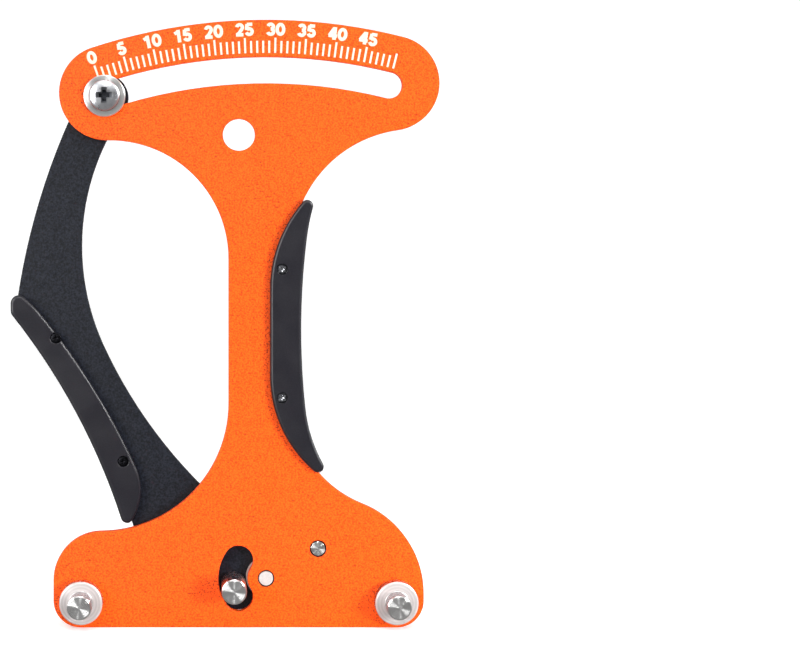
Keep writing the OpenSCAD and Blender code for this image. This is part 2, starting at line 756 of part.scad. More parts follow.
module spring_pin() {
    r = spring_pin_d / 2;
    tip = front_leg_y + wire_r + 1.2;
    color([0.80, 0.81, 0.83])
        turned(spring_pin_at, [[0, lever_front], [r, lever_front], [r, tip - 0.4],
                               [r - 0.4, tip], [0, tip]]);
}

module pointer_bush() {
    face = -glide_gap - bush_flange_t;
    flange = bush_flange_d / 2;
    sleeve = slot_w / 2 - slot_play;
    hole = pointer_thread_d / 2 + 0.05;
    color([0.80, 0.81, 0.83])
        turned(pointer, [[hole, face], [flange - 0.3, face], [flange, face + 0.3],
                         [flange, -glide_gap], [sleeve, -glide_gap],
                         [sleeve, lever_front], [hole, lever_front]]);
}

module pointer_screw() {
    seat = -glide_gap - bush_flange_t;
    r = pointer_thread_d / 2;
    tip = lever_back + pointer_nut_h + 1;
    color([0.74, 0.75, 0.77]) difference() {
        turned(pointer, concat(pan_head(pointer_head_d / 2, seat - pointer_head_h, seat),
                               [[r, seat], [r, tip - 0.5], [r - 0.5, tip], [0, tip]]));
        cross_recess(pointer, pointer_head_d * 0.53, seat - pointer_head_h);
    }
}

module pointer_nut() {
    color([0.70, 0.71, 0.73]) difference() {
        sheet(lever_back, lever_back + pointer_nut_h)
            translate(pointer) circle(d = pointer_nut_af / cos(30), $fn = 6);
        bore(pointer, pointer_thread_d / 2 + seat_play, lever_back - cut,
             lever_back + pointer_nut_h + cut);
    }
}

// ---- Torsion spring -------------------------------------------------------------------

coil_steps = ceil(24 * coil_sweep / 360);
front_leg = sqrt(pow(spring_pin_arm, 2) - pow(coil_r + wire_r + spring_pin_d / 2 + leg_play, 2))
    + leg_spare;
back_leg = sqrt(pow(spring_post_arm, 2) - pow(coil_r + wire_r + spring_post_d / 2 + leg_play, 2))
    + leg_spare;

// Each station of the wire: [place in the plane, depth, direction away from the axis]
function leg_station(touch, along, depth) =
    [coil_r * unit(touch) + along * unit(touch + 90), depth, touch];

spring_path = concat(
    [for (s = [0, wire_d]) leg_station(front_touch, s - front_leg, front_leg_y)],
    [for (i = [0:coil_steps])
        let (part = i / coil_steps)
        leg_station(front_touch + coil_sweep * part, 0,
                    front_leg_y + (back_leg_y - front_leg_y) * part)],
    [for (s = [wire_d, 0]) leg_station(back_touch + 360 * coil_turns, back_leg - s, back_leg_y)]);

wire_middle = [for (s = spring_path) [s[0].x, s[1], s[0].y]];
// Least gap of the wire to itself, between stations at least half a turn apart
least_gap = min([for (i = [0:len(wire_middle) - 13]) for (j = [i + 12:len(wire_middle) - 1])
    norm(wire_middle[j] - wire_middle[i])]) - wire_d;
echo(spring_least_gap = least_gap);

module torsion_spring() {
    sides = 6;
    n = len(spring_path);
    points = [for (i = [0:n - 1]) for (k = [0:sides - 1])
        let (out = unit(spring_path[i][2]), a = 360 * k / sides)
        wire_middle[i] + wire_r * [cos(a) * out.x, sin(a), cos(a) * out.y]];
    skin = [for (i = [0:n - 2]) for (k = [0:sides - 1])
        let (a = i * sides + k, b = i * sides + (k + 1) % sides)
        for (f = [[a, a + sides, b], [b, a + sides, b + sides]]) f];
    ends = [for (k = [1:sides - 2]) for (f = [[0, k, k + 1],
        [(n - 1) * sides, (n - 1) * sides + k + 1, (n - 1) * sides + k]]) f];
    color([0.55, 0.56, 0.58])
        translate([pivot_x, frame_y, pivot_z])
            polyhedron(points, concat(skin, ends), convexity = 10);
}

scale_plate();
left_post();
right_post();
left_post_screw();
right_post_screw();
pivot_pin();
thrust_washer();
spring_sleeve();
retaining_washer();
retaining_ring();
spring_post();
plate_grip_front();
plate_grip_back();
plate_grip_screws();
lever_arm();
pivot_bushing();
middle_post();
middle_post_screw();
spring_pin();
pointer_bush();
pointer_screw();
pointer_nut();
lever_grip_front();
lever_grip_back();
lever_grip_screws();
torsion_spring();
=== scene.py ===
import json
import math

import bpy
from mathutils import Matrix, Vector


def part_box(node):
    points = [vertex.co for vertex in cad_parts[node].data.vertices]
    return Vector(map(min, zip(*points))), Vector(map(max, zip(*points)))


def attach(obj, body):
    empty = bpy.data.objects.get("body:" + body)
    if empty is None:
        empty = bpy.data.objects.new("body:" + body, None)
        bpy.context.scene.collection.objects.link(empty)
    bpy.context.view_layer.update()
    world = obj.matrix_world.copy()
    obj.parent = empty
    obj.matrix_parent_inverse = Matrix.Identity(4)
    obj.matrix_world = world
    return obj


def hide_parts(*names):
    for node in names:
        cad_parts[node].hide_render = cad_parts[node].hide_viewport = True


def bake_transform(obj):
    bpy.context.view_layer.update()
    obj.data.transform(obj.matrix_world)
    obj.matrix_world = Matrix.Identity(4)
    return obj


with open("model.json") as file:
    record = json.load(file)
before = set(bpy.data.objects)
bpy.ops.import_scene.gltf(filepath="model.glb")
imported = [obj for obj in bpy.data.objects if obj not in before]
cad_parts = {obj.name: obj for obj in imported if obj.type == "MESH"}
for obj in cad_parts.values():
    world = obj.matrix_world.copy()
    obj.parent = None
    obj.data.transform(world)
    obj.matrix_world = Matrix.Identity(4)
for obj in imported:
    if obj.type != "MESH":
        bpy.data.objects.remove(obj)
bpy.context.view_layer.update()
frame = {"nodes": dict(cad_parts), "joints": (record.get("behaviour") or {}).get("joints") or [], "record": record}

# The looks of a spoke tension meter: a coated plate with a printed scale, a coated lever that
# swings behind it, turned posts, moulded grips and a wound spring. Places come from the frame,
# in metres. Sizes are in mm, and depths are counted back from the plate's front face.
MM = 0.001

PIVOT = Vector(frame["joints"][0]["pos_m"])
TRAVEL_DEG = frame["joints"][0]["range_deg"][1]
PLATE_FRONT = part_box("scale_plate")[0].y


def middle(node):
    """The middle of a node's box"""
    low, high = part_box(node)
    return (low + high) / 2


def depths(node):
    """The depths of a node's front and back"""
    low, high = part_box(node)
    return (low.y - PLATE_FRONT) / MM, (high.y - PLATE_FRONT) / MM


def at_depth(depth):
    """The place along Y that has this depth"""
    return PLATE_FRONT + depth * MM


def off_axis(point, axis):
    """How far a point lies from an axis along Y, in mm"""
    return math.hypot(point.x - axis.x, point.z - axis.z) / MM


# ---- Modelling ---------------------------------------------------------------------------

SHARP_DEG = 35
FLAT_DEG = 0.2
SAME_POINT = 0.002
TURNED_SIDES = 96
CUTTER_SIDES = 64
# A profile that reaches its axis ends in a ring this small, and merging its points closes it
POLE_R = 0.001


def only(piece):
    """Selects this object alone and makes it the active one"""
    bpy.ops.object.select_all(action="DESELECT")
    piece.select_set(True)
    bpy.context.view_layer.objects.active = piece


def settle(piece, name):
    """Names a finished piece and puts its place into its mesh"""
    only(piece)
    bpy.ops.object.transform_apply(location=True, rotation=True, scale=True)
    piece.name = name
    piece.data.name = name
    return piece


def pick_faces(piece, wanted):
    """In edit mode, selects the faces whose middle and normal pass the test"""
    bpy.ops.mesh.select_all(action="DESELECT")
    bpy.ops.object.mode_set(mode="OBJECT")
    for face in piece.data.polygons:
        face.select = wanted(face.center, face.normal)
    bpy.ops.object.mode_set(mode="EDIT")
    bpy.ops.mesh.select_mode(type="FACE")


def smoothed(piece, angle=SHARP_DEG):
    """Shades a piece smooth, but for its edges sharper than this angle"""
    only(piece)
    bpy.ops.object.shade_smooth_by_angle(angle=math.radians(angle))
    return piece


def rounded(piece, width, segments=2, angle=SHARP_DEG):
    """Rounds the sharp edges of a piece, as deburring or a coat of powder does"""
    only(piece)
    soft = piece.modifiers.new("rounding", "BEVEL")
    soft.width = width * MM
    soft.segments = segments
    soft.limit_method = "ANGLE"
    soft.angle_limit = math.radians(angle)
    soft.use_clamp_overlap = False
    soft.miter_outer = "MITER_ARC"
    bpy.ops.object.modifier_apply(modifier=soft.name)
    smoothed(piece, angle)
    # Broad faces keep their own direction, and the shading turns within the rounding
    even = piece.modifiers.new("even_shading", "WEIGHTED_NORMAL")
    even.keep_sharp = True
    bpy.ops.object.modifier_apply(modifier=even.name)
    return piece


def cut_from(piece, cutter, operation="DIFFERENCE"):
    """Cuts the second piece out of the first, or keeps only what they share, and deletes it"""
    only(piece)
    away = piece.modifiers.new("cut", "BOOLEAN")
    away.operation = operation
    away.solver = "EXACT"
    away.object = cutter
    bpy.ops.object.modifier_apply(modifier=away.name)
    bpy.data.objects.remove(cutter)
    return smoothed(piece)


def joined(pieces, name):
    """Several objects made one"""
    bpy.ops.object.select_all(action="DESELECT")
    for piece in pieces:
        piece.select_set(True)
    bpy.context.view_layer.objects.active = pieces[0]
    bpy.ops.object.join()
    return settle(pieces[0], name)


def copied(node, name):
    """A copy of a CAD node's mesh with its points merged and its flat faces joined up"""
    source = frame["nodes"][node]
    piece = source.copy()
    piece.data = source.data.copy()
    piece.parent = None
    for key in list(piece.keys()):
        del piece[key]
    bpy.context.scene.collection.objects.link(piece)
    piece.name = name
    piece.data.name = name
    only(piece)
    bpy.ops.object.mode_set(mode="EDIT")
    bpy.ops.mesh.select_all(action="SELECT")
    bpy.ops.mesh.remove_doubles(threshold=SAME_POINT * MM)
    bpy.ops.mesh.dissolve_limited(angle_limit=math.radians(FLAT_DEG))
    bpy.ops.object.mode_set(mode="OBJECT")
    return piece


def turned(name, at, profile):
    """A piece turned about an axis along Y: a disc that is drawn out and resized from step to
    step. The profile is a list of [radius, depth]"""
    radius, depth = profile[0]
    bpy.ops.mesh.primitive_circle_add(
        vertices=TURNED_SIDES, radius=radius * MM, fill_type="NGON",
        location=(at.x, at_depth(depth), at.z), rotation=(math.pi / 2, 0, 0))
    piece = bpy.context.object
    bpy.ops.object.mode_set(mode="EDIT")
    bpy.ops.mesh.select_mode(type="FACE")
    bpy.ops.mesh.select_all(action="SELECT")
    for next_radius, next_depth in profile[1:]:
        bpy.ops.mesh.extrude_region_move(
            TRANSFORM_OT_translate={"value": (0, (next_depth - depth) * MM, 0)})
        share = next_radius / radius
        bpy.ops.transform.resize(
            value=(share, 1, share), center_override=(at.x, at_depth(next_depth), at.z))
        radius, depth = next_radius, next_depth
    bpy.ops.object.mode_set(mode="OBJECT")
    settle(piece, name)
    bpy.ops.object.mode_set(mode="EDIT")
    bpy.ops.mesh.select_all(action="SELECT")
    bpy.ops.mesh.remove_doubles(threshold=POLE_R / 5 * MM)
    bpy.ops.mesh.normals_make_consistent(inside=False)
    bpy.ops.object.mode_set(mode="OBJECT")
    return piece


def disc(at, radius, front, back):
    """A plain round cutter along Y between two depths"""
    bpy.ops.mesh.primitive_cylinder_add(
        vertices=CUTTER_SIDES, radius=radius * MM, depth=(back - front) * MM,
        location=(at.x, at_depth((front + back) / 2), at.z), rotation=(math.pi / 2, 0, 0))
    return bpy.context.object


def driver_recess(piece, at, front, span, blade, depth, taper=0.62, ahead=0.4):
    """Cuts a cross recess for a driver into a head: two bars that start ahead of it and taper
    as they go in"""
    for turn in (0, 90):
        bpy.ops.mesh.primitive_cube_add(
            size=1, location=(at.x, at_depth(front + (depth - ahead) / 2), at.z),
            rotation=(0, math.radians(turn), 0),
            scale=(span * MM, (depth + ahead) * MM, blade * MM))
        bar = settle(bpy.context.object, "driver_bar")
        bpy.ops.object.mode_set(mode="EDIT")
        pick_faces(bar, lambda centre, normal: normal.y > 0.9)
        bpy.ops.transform.resize(
            value=(taper, 1, taper), center_override=(at.x, at_depth(front + depth), at.z))
        bpy.ops.object.mode_set(mode="OBJECT")
        cut_from(piece, bar)
    return piece


def drawn_line(points, width, closed=False):
    """A round line drawn through the points, made a mesh"""
    bpy.ops.curve.primitive_nurbs_path_add()
    line = bpy.context.object
    line.data.splines.clear()
    spline = line.data.splines.new("POLY")
    spline.points.add(len(points) - 1)
    for target, point in zip(spline.points, points):
        target.co = (*point, 1)
    spline.use_cyclic_u = closed
    line.data.bevel_depth = width / 2
    line.data.bevel_resolution = 3
    line.data.use_fill_caps = True
    bpy.ops.object.convert(target="MESH")
    return bpy.context.object


# ---- Materials ---------------------------------------------------------------------------

# Polyester, nylon and ink bend light about alike
POLYMER_IOR = 1.5
# At a scale of 1, the rings of the wave texture lie this far apart
WAVE_STEP = 2 * math.pi / 20


def linear(code):
    """An sRGB hex colour as the linear values that a shader takes"""
    parts = [int(code[i:i + 2], 16) / 255 for i in (1, 3, 5)]
    return (*[p / 12.92 if p <= 0.04045 else ((p + 0.055) / 1.055) ** 2.4 for p in parts], 1.0)


WHITE = linear("#FFFFFF")


def add_node(owner, kind, inputs=None, stops=(), **settings):
    """Adds a shader node to a material or a world. Each input is given a value or is linked to
    an output. A ramp's stops are [position, colour] with rising positions"""
    made = owner.node_tree.nodes.new("ShaderNode" + kind)
    for name, value in settings.items():
        setattr(made, name, value)
    for name, value in (inputs or {}).items():
        if isinstance(value, bpy.types.NodeSocket):
            owner.node_tree.links.new(value, made.inputs[name])
        else:
            made.inputs[name].default_value = value
    if stops:
        while len(made.color_ramp.elements) < len(stops):
            made.color_ramp.elements.new(1.0)
        for element, (position, colour) in zip(made.color_ramp.elements, stops):
            element.position = position
            element.color = linear(colour)
    return made


def new_material(name):
    """An empty material, and its coordinates on the object"""
    material = bpy.data.materials.new(name)
    material.use_nodes = True
    material.node_tree.nodes.clear()
    return material, add_node(material, "TexCoord").outputs["Object"]


def per_mm(size):
    """The scale that makes the steps of a pattern this size in mm"""
    return 1 / (size * MM)


def powder_coat(name, colour, pit, crest, roughness, gloss):
    """Polyester powder coat, fine texture: baked powder leaves a pebbled skin, so the colour
    is flecked with tiny shaded pits and the gloss breaks up into grains"""
    material, place = new_material(name)
    # The pebbles of a fine texture are about 0.6 mm apart
    grain = add_node(material, "TexNoise", {
        "Vector": place, "Scale": per_mm(0.62), "Detail": 2.0, "Roughness": 0.6})
    flecks = add_node(material, "ValToRGB", {"Fac": grain.outputs["Fac"]},
                      stops=[(0.34, pit), (0.46, colour), (0.62, crest)])
    # Orange peel, drawn at 0.8 mm so that it shows
    peel = add_node(material, "TexNoise", {
        "Vector": place, "Scale": per_mm(0.8), "Detail": 2.0, "Roughness": 0.5})
    sheen = add_node(material, "MapRange", {
        "Value": peel.outputs["Fac"], "From Min": 0.3, "From Max": 0.7,
        "To Min": roughness - 0.08, "To Max": roughness + 0.1})
    pebbles = add_node(material, "Bump", {
        "Height": peel.outputs["Fac"], "Strength": 0.35, "Distance": 0.05 * MM})
    coat = add_node(material, "BsdfPrincipled", {
        "Base Color": flecks.outputs["Color"], "Roughness": sheen.outputs["Result"],
        "IOR": POLYMER_IOR, "Specular IOR Level": gloss, "Normal": pebbles.outputs["Normal"]})
    add_node(material, "OutputMaterial", {"Surface": coat.outputs["BSDF"]})
    return material


def moulded_plastic(name, colour, crest, roughness, grit, gloss=0.5):
    """Moulded plastic from a spark-eroded tool: an even fine grain, worn a little smoother in
    patches. The grain is really about 0.2 mm and is drawn wider to show"""
    material, place = new_material(name)
    grain = add_node(material, "TexNoise", {
        "Vector": place, "Scale": per_mm(grit), "Detail": 3.0, "Roughness": 0.6})
    flecks = add_node(material, "ValToRGB", {"Fac": grain.outputs["Fac"]},
                      stops=[(0.35, colour), (0.75, crest)])
    # As wide as a fingertip
    patches = add_node(material, "TexNoise", {
        "Vector": place, "Scale": per_mm(9), "Detail": 2.0})
    wear = add_node(material, "MapRange", {
        "Value": patches.outputs["Fac"], "From Min": 0.35, "From Max": 0.65,
        "To Min": roughness - 0.05, "To Max": roughness + 0.06})
    sparks = add_node(material, "Bump", {
        "Height": grain.outputs["Fac"], "Strength": 0.3, "Distance": 0.03 * MM})
    plastic = add_node(material, "BsdfPrincipled", {
        "Base Color": flecks.outputs["Color"], "Roughness": wear.outputs["Result"],
        "IOR": POLYMER_IOR, "Specular IOR Level": gloss, "Normal": sparks.outputs["Normal"]})
    add_node(material, "OutputMaterial", {"Surface": plastic.outputs["BSDF"]})
    return material


def turned_metal(name, at, colour, dark, roughness, sheen, pitch, metallic=1.0):
    """Metal faced on a lathe: the tool leaves rings round the axis, which spread a light
    towards and away from the middle, so the face shows bright sectors. The rings are really
    0.1 mm apart and are drawn wider to show"""
    material, place = new_material(name)
    centred = add_node(material, "Mapping", {"Vector": place, "Location": (-at.x, 0, -at.z)})
    rings = add_node(material, "TexWave", {
        "Vector": centred.outputs["Vector"], "Scale": WAVE_STEP * per_mm(pitch),
        "Distortion": 0.6, "Detail": 2.0, "Detail Scale": 1.5},
        wave_type="RINGS", rings_direction="Y")
    tones = add_node(material, "ValToRGB", {"Fac": rings.outputs["Fac"]},
                     stops=[(0.1, dark), (0.8, colour)])
    polish = add_node(material, "MapRange", {
        "Value": rings.outputs["Fac"], "From Min": 0.0, "From Max": 1.0,
        "To Min": roughness + 0.05, "To Max": roughness - 0.04})
    flat = add_node(material, "VectorMath", {
        0: centred.outputs["Vector"], 1: (1, 0, 1)}, operation="MULTIPLY")
    outwards = add_node(material, "VectorMath", {0: flat.outputs["Vector"]},
                        operation="NORMALIZE")
    grooves = add_node(material, "Bump", {
        "Height": rings.outputs["Fac"], "Strength": 0.1, "Distance": 0.01 * MM})
    metal = add_node(material, "BsdfPrincipled", {
        "Base Color": tones.outputs["Color"], "Roughness": polish.outputs["Result"],
        "Metallic": metallic, "Anisotropic": sheen, "Tangent": outwards.outputs["Vector"],
        "Normal": grooves.outputs["Normal"]})
    add_node(material, "OutputMaterial", {"Surface": metal.outputs["BSDF"]})
    return material


def plated_metal(name, colour, dark, roughness, grit=0.6, metallic=1.0):
    """Plated or plain metal off the machine: clean and bright, with faint clouding"""
    material, place = new_material(name)
    cloud = add_node(material, "TexNoise", {
        "Vector": place, "Scale": per_mm(grit), "Detail": 4.0, "Roughness": 0.6})
    tones = add_node(material, "ValToRGB", {"Fac": cloud.outputs["Fac"]},
                     stops=[(0.3, dark), (0.65, colour)])
    polish = add_node(material, "MapRange", {
        "Value": cloud.outputs["Fac"], "From Min": 0.3, "From Max": 0.7,
        "To Min": roughness - 0.05, "To Max": roughness + 0.08})
    dents = add_node(material, "Bump", {
        "Height": cloud.outputs["Fac"], "Strength": 0.15, "Distance": 0.01 * MM})
    metal = add_node(material, "BsdfPrincipled", {
        "Base Color": tones.outputs["Color"], "Roughness": polish.outputs["Result"],
        "Metallic": metallic, "Normal": dents.outputs["Normal"]})
    add_node(material, "OutputMaterial", {"Surface": metal.outputs["BSDF"]})
    return material


# Polyester coats on the two sheets: a strong matt orange, and a blue black with more gloss
orange_coat = powder_coat("orange_powder_coat", "#FF5308", "#A63206", "#FF6210", 0.5, 0.16)
black_coat = powder_coat("black_powder_coat", "#11141C", "#080A10", "#1D202A", 0.46, 0.24)
# Filled nylon with a dull grain, and plain nylon, milky and a little waxy
grip_black = moulded_plastic("moulded_grip_plastic", "#19181E", "#212027", 0.42, 0.45, 0.26)
nylon = moulded_plastic("natural_nylon", "#B9B2A8", "#C6C0B6", 0.45, 0.8)
# Screen ink dries to a flat skin, as even as a moulding, and the coat warms its white
print_ink = moulded_plastic("white_screen_ink", "#E6D3BC", "#EBDCC8", 0.6, 0.4)
# Zinc plate is pale and blurs what it mirrors. Tumbled heads are duller, new screws sharper
zinc_plate = plated_metal("zinc_plated_steel", "#C9CBCE", "#B2B5BA", 0.3)
pan_zinc = plated_metal("zinc_plated_pan_head", "#B4B5B8", "#A6A7AB", 0.3, 1.5, 0.9)
bright_zinc = plated_metal("bright_zinc_screw", "#D8D9DE", "#8C8D92", 0.2)
# Painted shade: a dark steel put on recesses and narrow gaps, where little light comes
painted_shade_steel = plated_metal("painted_shade_dark_steel", "#3A3B3F", "#2C2D31", 0.5)
# Black oxide holds oil: nearly black, with a soft shine
black_oxide = plated_metal("black_oxide_steel", "#1E1E21", "#151518", 0.4)
# Spring steels come grey from drawing, and darker from hardening
wire_steel = plated_metal("drawn_spring_wire", "#A5A7AA", "#86888C", 0.32, grit=0.4)
clip_steel = plated_metal("hardened_clip_steel", "#6E7074", "#595B5F", 0.35)
# Sintered bronze is golden and full of fine pores
bearing_bronze = plated_metal("sintered_bronze", "#C79A5B", "#A87E45", 0.42, grit=0.3)
# A pin ground flush is pale and even, and a turned stem mirrors the room more sharply
ground_steel = plated_metal("ground_pin_steel", "#DAD3D1", "#CBC5C3", 0.45, metallic=0.3)
stem_steel = plated_metal("turned_stem_steel", "#B4A9AC", "#9A9093", 0.24, 1.2)


def dress(piece, material, body, slot, *nodes):
    """Gives a piece its material and its body, and hides what it replaces. The slot it is given is not used"""
    piece.data.materials.clear()
    piece.data.materials.append(material)
    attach(piece, body)
    if nodes:
        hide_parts(*nodes)
    return piece


node_slot = {s["node"]: s["material_slot"] for s in frame["record"]["subparts"]}
node_body = {n: b for b, ns in frame["record"]["behaviour"]["bodies"].items() for n in ns}


def dress_node(piece, material, node):
    """Dresses the piece that takes a CAD node's place"""
    return dress(piece, material, node_body[node], node_slot[node], node)


def face_with(piece, material, wanted):
    """Gives a further material to the faces that pass the test"""
    piece.data.materials.append(material)
    only(piece)
    bpy.ops.object.mode_set(mode="EDIT")
    pick_faces(piece, wanted)
    piece.active_material_index = len(piece.data.materials) - 1
    bpy.ops.object.material_slot_assign()
    bpy.ops.object.mode_set(mode="OBJECT")
    return piece


# ---- Sheets ------------------------------------------------------------------------------

PLATE_EDGE = 0.22
LEVER_EDGE = 0.2
SETBACK_R = 2.97
SETBACK = 0.9


def make_scale_plate():
    """The coated sheet, set back a little round the two studs that end flush in it"""
    piece = copied("scale_plate", "coated_scale_plate")
    studs = [middle(stud) for stud in ("pivot_pin", "spring_post")]
    for stud in studs:
        cut_from(piece, disc(stud, SETBACK_R, front=-1, back=SETBACK))
    dress_node(rounded(piece, PLATE_EDGE, segments=3), orange_coat, "scale_plate")
    # Painted shade: the narrow gaps behind their rounded edge are given the dark steel in place of the coat's
    # colour
    low, high = at_depth(PLATE_EDGE + 0.08), at_depth(SETBACK + 0.1)
    face_with(piece, painted_shade_steel, lambda centre, normal: low < centre.y < high and any(
        off_axis(centre, stud) < SETBACK_R + 0.13 for stud in studs))


def make_lever():
    """The coated arm behind the plate"""
    piece = rounded(copied("lever_arm", "coated_lever"), LEVER_EDGE, segments=3)
    return dress_node(piece, black_coat, "lever_arm")


# ---- Printed scale -----------------------------------------------------------------------

# The zero lies where the pointer rests
POINTER = middle("pointer_bush")
ZERO_DEG = math.degrees(math.atan2(POINTER.x - PIVOT.x, POINTER.z - PIVOT.z))
UNITS = 50
UNITS_PER_LABEL = 5
LAST_LABEL = 45
# Thickness of the ink, and the radii of the ticks and the numbers round the pivot
INK = 0.06
TICK_W = 0.7
TICK_FROM = 186.5
MINOR_TO = 190.8
MAJOR_TO = 191.9
LABEL_R = 194.9


def on_arc(radius, deg):
    """A point of the plate's front at this radius and angle right of the vertical"""
    angle = math.radians(deg)
    return Vector((PIVOT.x + radius * MM * math.sin(angle), PLATE_FRONT,
                   PIVOT.z + radius * MM * math.cos(angle)))


def unit_deg(value):
    """The angle of a value on the scale"""
    return ZERO_DEG + TRAVEL_DEG * value / UNITS


def make_ticks():
    """One stroke for each unit, longer at every fifth"""
    marks = []
    for value in range(UNITS + 1):
        reach = MAJOR_TO if value % UNITS_PER_LABEL == 0 else MINOR_TO
        deg = unit_deg(value)
        bpy.ops.mesh.primitive_cube_add(
            size=1, location=on_arc((TICK_FROM + reach) / 2, deg),
            rotation=(0, math.radians(deg), 0),
            scale=(TICK_W * MM, INK * MM, (reach - TICK_FROM) * MM))
        marks.append(bpy.context.object)
    piece = joined(marks, "scale_ticks")
    return dress(piece, print_ink, "plate", "orange_coat")


def bow(cx, cz, rx, rz, start, end, steps=14):
    """Points along part of an ellipse, from start to end in degrees"""
    angles = [math.radians(start + (end - start) * i / steps) for i in range(steps + 1)]
    return [(cx + rx * math.cos(a), cz + rz * math.sin(a)) for a in angles]


DIGIT_H = 4.5
DIGIT_STRETCH = 1.22
# The sizes below are shares of a digit's height, before it is stretched sideways. The pen
# strokes are drawn from its lower left corner
DIGIT_STROKES = {
    "0": [bow(0.29, 0.5, 0.21, 0.39, 360, 0, 32)],
    "1": [[(0.36, 0), (0.36, 1)], [(0.36, 0.9), (0.24, 0.79), (0.1, 0.72)]],
    "2": [bow(0.29, 0.68, 0.18, 0.22, 170, -25) + [(0.28, 0.29), (0.11, 0.1)],
          [(0.04, 0.1), (0.52, 0.1)]],
    "3": [bow(0.28, 0.7, 0.17, 0.2, 165, -85), bow(0.28, 0.31, 0.19, 0.21, 85, -165)],
    "4": [[(0.37, 0.95), (0.07, 0.31)], [(0.02, 0.3), (0.57, 0.3)], [(0.4, 0), (0.4, 1)]],
    "5": [[(0.15, 0.9), (0.5, 0.9)], [(0.16, 0.93), (0.11, 0.46)],
          bow(0.28, 0.33, 0.19, 0.23, 135, -165)],
}
DIGIT_W = 0.58
DIGIT_STEP = 0.62
STROKE_W = 0.28


def pen_stroke(points):
    """A stroke of ink through points in the plane of the scale"""
    closed = math.dist(points[0], points[-1]) < 1e-6
    kept = points[:-1] if closed else points
    return drawn_line([(x, 0, z) for x, z in kept], STROKE_W, closed)


def make_numbers():
    """The numbers of the scale, each turned with the arc and pressed flat"""
    strokes = []
    for value in range(0, LAST_LABEL + 1, UNITS_PER_LABEL):
        text = str(value)
        deg = unit_deg(value)
        across = (len(text) - 1) * DIGIT_STEP + DIGIT_W
        for place, digit in enumerate(text):
            left = place * DIGIT_STEP - across / 2
            for points in DIGIT_STROKES[digit]:
                stroke = pen_stroke([((x + left) * DIGIT_STRETCH, z - 0.5) for x, z in points])
                stroke.location = on_arc(LABEL_R, deg)
                stroke.rotation_euler = (0, math.radians(deg), 0)
                stroke.scale = (DIGIT_H * MM, INK / STROKE_W * MM, DIGIT_H * MM)
                strokes.append(stroke)
    piece = joined(strokes, "scale_numbers")
    return dress(piece, print_ink, "plate", "orange_coat")


# ---- Turned pieces -----------------------------------------------------------------------

TURNED_EDGE = 0.1
# A face whose normal leans less than this to the front is the side of a turned piece
SIDEWAYS = 0.3

# The posts: radii of their grooves, and radii and lengths of stems, flanges and screw bores
GROOVE_HALF_W = 0.14
GROOVE_DEPTH = 0.02
END_GROOVES = (1.2, 2.4, 3.4)
FLANGE_GROOVES = (5.0, 5.6, 6.2, 6.8)
CHAMFER = 0.5
STEM_R = 4.25
STEM_REACH = 7.5
STEM_ROOT = 0.2
FLANGE_R = 7.65
FLANGE_HEEL = 0.15
OUTER_BORE_R = 2.52
OUTER_BORE = 9
MIDDLE_R = 4.4
MIDDLE_HEEL = 0.1
MIDDLE_BORE_R = 2.02
MIDDLE_SOLID = 7


def fine_grooves(radii, depth):
    """Profile points of shallow rings that the tool leaves in a face at this depth"""
    return [point for r in radii for point in (
        [r - GROOVE_HALF_W, depth], [r, depth + GROOVE_DEPTH], [r + GROOVE_HALF_W, depth])]


def faced_end(radius, front):
    """Profile points of a post's front end"""
    return [[POLE_R, front], *fine_grooves(END_GROOVES, front), [radius - CHAMFER, front],
            [radius, front + CHAMFER]]


def screw_bore(radius, back, bottom):
    """Profile points of a bore from behind, which the drill leaves with a conical bottom"""
    return [[radius, back], [radius, bottom], [POLE_R, bottom - radius / 2]]


def faced_steel(node):
    """The bright steel of a post's end"""
    return turned_metal("faced_" + node, middle(node), "#E2E1E0", "#D6D5D4", 0.3, 1.0, 0.35)


def make_outer_post(node):
    """A stem on a broad flange. The flange is blasted pale and the stem is left bright"""
    at = middle(node)
    front, back = depths(node)
    face = front + STEM_REACH
    profile = [*faced_end(STEM_R, front), [STEM_R, face - STEM_ROOT],
               [STEM_R + STEM_ROOT / 4, face - STEM_ROOT / 4], [STEM_R + STEM_ROOT, face],
               *fine_grooves(FLANGE_GROOVES, face), [FLANGE_R - CHAMFER, face],
               [FLANGE_R, face + CHAMFER], [FLANGE_R, back - FLANGE_HEEL],
               [FLANGE_R - FLANGE_HEEL, back], *screw_bore(OUTER_BORE_R, back, back - OUTER_BORE)]
    piece = rounded(turned("fine_" + node, at, profile), TURNED_EDGE)
    pale = turned_metal("blasted_" + node, at, "#C9C4C2", "#BDB8B6", 0.5, 0.6, 1.1, 0.3)
    dress_node(piece, pale, node)
    root = at_depth(face - STEM_ROOT / 2)
    face_with(piece, faced_steel(node), lambda centre, normal: centre.y < root)
    face_with(piece, stem_steel, lambda centre, normal: abs(normal.y) < SIDEWAYS)


def make_middle_post():
    """The lever's post: one plain stem, bright all over"""
    node = "middle_post"
    front, back = depths(node)
    profile = [*faced_end(MIDDLE_R, front), [MIDDLE_R, back - MIDDLE_HEEL],
               [MIDDLE_R - MIDDLE_HEEL, back],
               *screw_bore(MIDDLE_BORE_R, back, front + MIDDLE_SOLID)]
    piece = rounded(turned("fine_" + node, middle(node), profile), TURNED_EDGE)
    dress_node(piece, faced_steel(node), node)
    face_with(piece, stem_steel, lambda centre, normal: abs(normal.y) < SIDEWAYS)


# The pointer screw's head, the recess in it, and its shank
HEAD_R = 5.5
HEAD_H = 3.2
HEAD_HEEL = 0.15
DOME_H = 1.7
DOME_STEP_DEG = 8
RIM_FROM = 1.8
RECESS_SPAN = 6.2
RECESS_BLADE = 2.2
RECESS_DEPTH = 2.3
SHANK_R = 2.5
THREAD_ROOT_R = 2.25
THREAD_PITCH = 0.4
THREADS = 2
TIP_R = 2.2
TIP = 0.1


